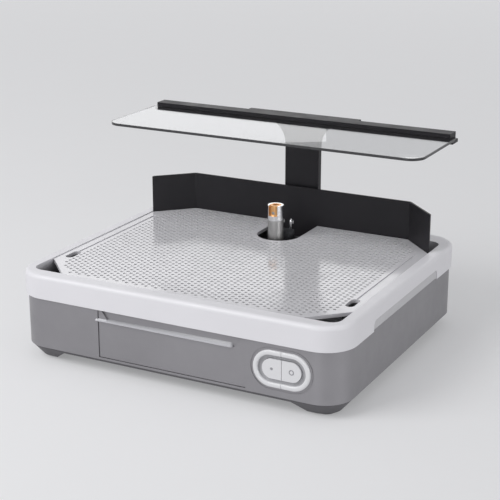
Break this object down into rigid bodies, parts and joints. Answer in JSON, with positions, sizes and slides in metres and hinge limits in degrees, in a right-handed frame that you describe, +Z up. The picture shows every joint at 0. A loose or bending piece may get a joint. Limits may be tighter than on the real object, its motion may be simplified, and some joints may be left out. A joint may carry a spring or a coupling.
{
  "type": "glass grinder",
  "caption": "Bench-top wet grinder for shaping glass: footed housing with a motor, lift-out water tray and perforated work surface, upright bit, rear guard, drawer and clear eye shield.",
  "frame": {"origin": "under the middle of the tray, on the surface that the feet stand on", "axes": "+X to the right as seen from the front, +Y to the back, +Z up along the spindle"},
  "size_m": [0.406, 0.35, 0.24],
  "materials": {
    "housing_grey": "satin mid grey moulding with a fine grain",
    "tray_white": "smooth white moulding",
    "plate_white": "smooth white moulding with a soft sheen",
    "black_plastic": "near-black moulding, satin",
    "base_grey": "dark grey moulding, grained",
    "foot_rubber": "matte black rubber",
    "lip_grey": "pale grey moulding",
    "switch_white": "glossy white moulding",
    "plated_steel": "bright plated",
    "motor_steel": "turned and drawn steel",
    "copper": "bare copper",
    "grit": "fine diamond grit in nickel",
    "seal_rubber": "black nitrile rubber",
    "foam": "open-cell foam, dark grey",
    "board_green": "solder-masked board",
    "black_case": "black component case",
    "brass": "bare brass",
    "clear_sheet": "clear polished sheet",
    "dark_edge": "dark polished edge",
    "diffuser_white": "milky strip",
    "led_yellow": "phosphor window"
  },
  "bodies": {
    "base": {"base_pan": "base_grey", "rubber_feet": "foot_rubber", "base_screws": "plated_steel", "housing_shell": "housing_grey", "motor_base": "motor_steel", "motor_screws": "plated_steel", "motor_can": "motor_steel", "motor_lower_plate": "motor_steel", "motor_upper_plate": "motor_steel", "lower_bearing": "motor_steel", "upper_bearing": "motor_steel", "stator_core": "motor_steel", "stator_windings": "copper", "shaft_seal": "seal_rubber", "drawer_runners": "base_grey", "switch_bezel": "switch_white", "switch_body": "black_case", "power_inlet": "black_case", "inlet_blades": "brass", "control_board": "board_green", "board_standoffs": "brass", "board_capacitor": "black_case", "power_module": "black_case", "post_socket": "housing_grey"},
    "spindle": {"motor_shaft": "motor_steel", "rotor_core": "motor_steel", "slinger": "seal_rubber", "bit_core": "copper", "grit_sleeve": "grit", "bit_head": "plated_steel", "set_screw": "motor_steel"},
    "drawer": {"drawer_front": "housing_grey", "drawer_pull": "lip_grey", "drawer_box": "base_grey"},
    "on_key": {"on_button": "switch_white"},
    "off_key": {"off_button": "switch_white"},
    "tray": {"water_tray": "tray_white", "splash_guard": "black_plastic", "handle_grips": "foot_rubber", "splash_cap": "black_plastic", "sponge": "foam", "sponge_clip": "plated_steel"},
    "grid": {"work_surface": "plate_white", "baffle_frame": "plate_white"},
    "shield": {"shield_post": "black_plastic", "shield_screws": "plated_steel", "light_bar": "black_plastic", "bar_end_caps": "black_plastic", "led_strip": "board_green", "led_chips": "led_yellow", "light_diffuser": "diffuser_white", "shield_sheet": "clear_sheet", "sheet_edge_band": "dark_edge"}
  },
  "joints": [
    {"name": "spindle_spin", "type": "hinge", "parent": "base", "child": "spindle", "pos_m": [0, 0.08, 0.07], "axis": [0, 0, 1], "continuous": true},
    {"name": "drawer_slide", "type": "slide", "parent": "base", "child": "drawer", "axis": [0, -1, 0], "range_m": [0, 0.085]},
    {"name": "on_press", "type": "slide", "parent": "base", "child": "on_key", "axis": [0, 1, 0], "range_m": [0, 0.002], "stiffness_N_per_m": 900},
    {"name": "off_press", "type": "slide", "parent": "base", "child": "off_key", "axis": [0, 1, 0], "range_m": [0, 0.002], "stiffness_N_per_m": 900},
    {"name": "tray_lift", "type": "slide", "parent": "base", "child": "tray", "axis": [0, 0, 1], "range_m": [0, 0.07]},
    {"name": "grid_lift", "type": "slide", "parent": "tray", "child": "grid", "axis": [0, 0, 1], "range_m": [0, 0.05]},
    {"name": "shield_lift", "type": "slide", "parent": "base", "child": "shield", "axis": [0, 0, 1], "range_m": [0, 0.06]}
  ]
}
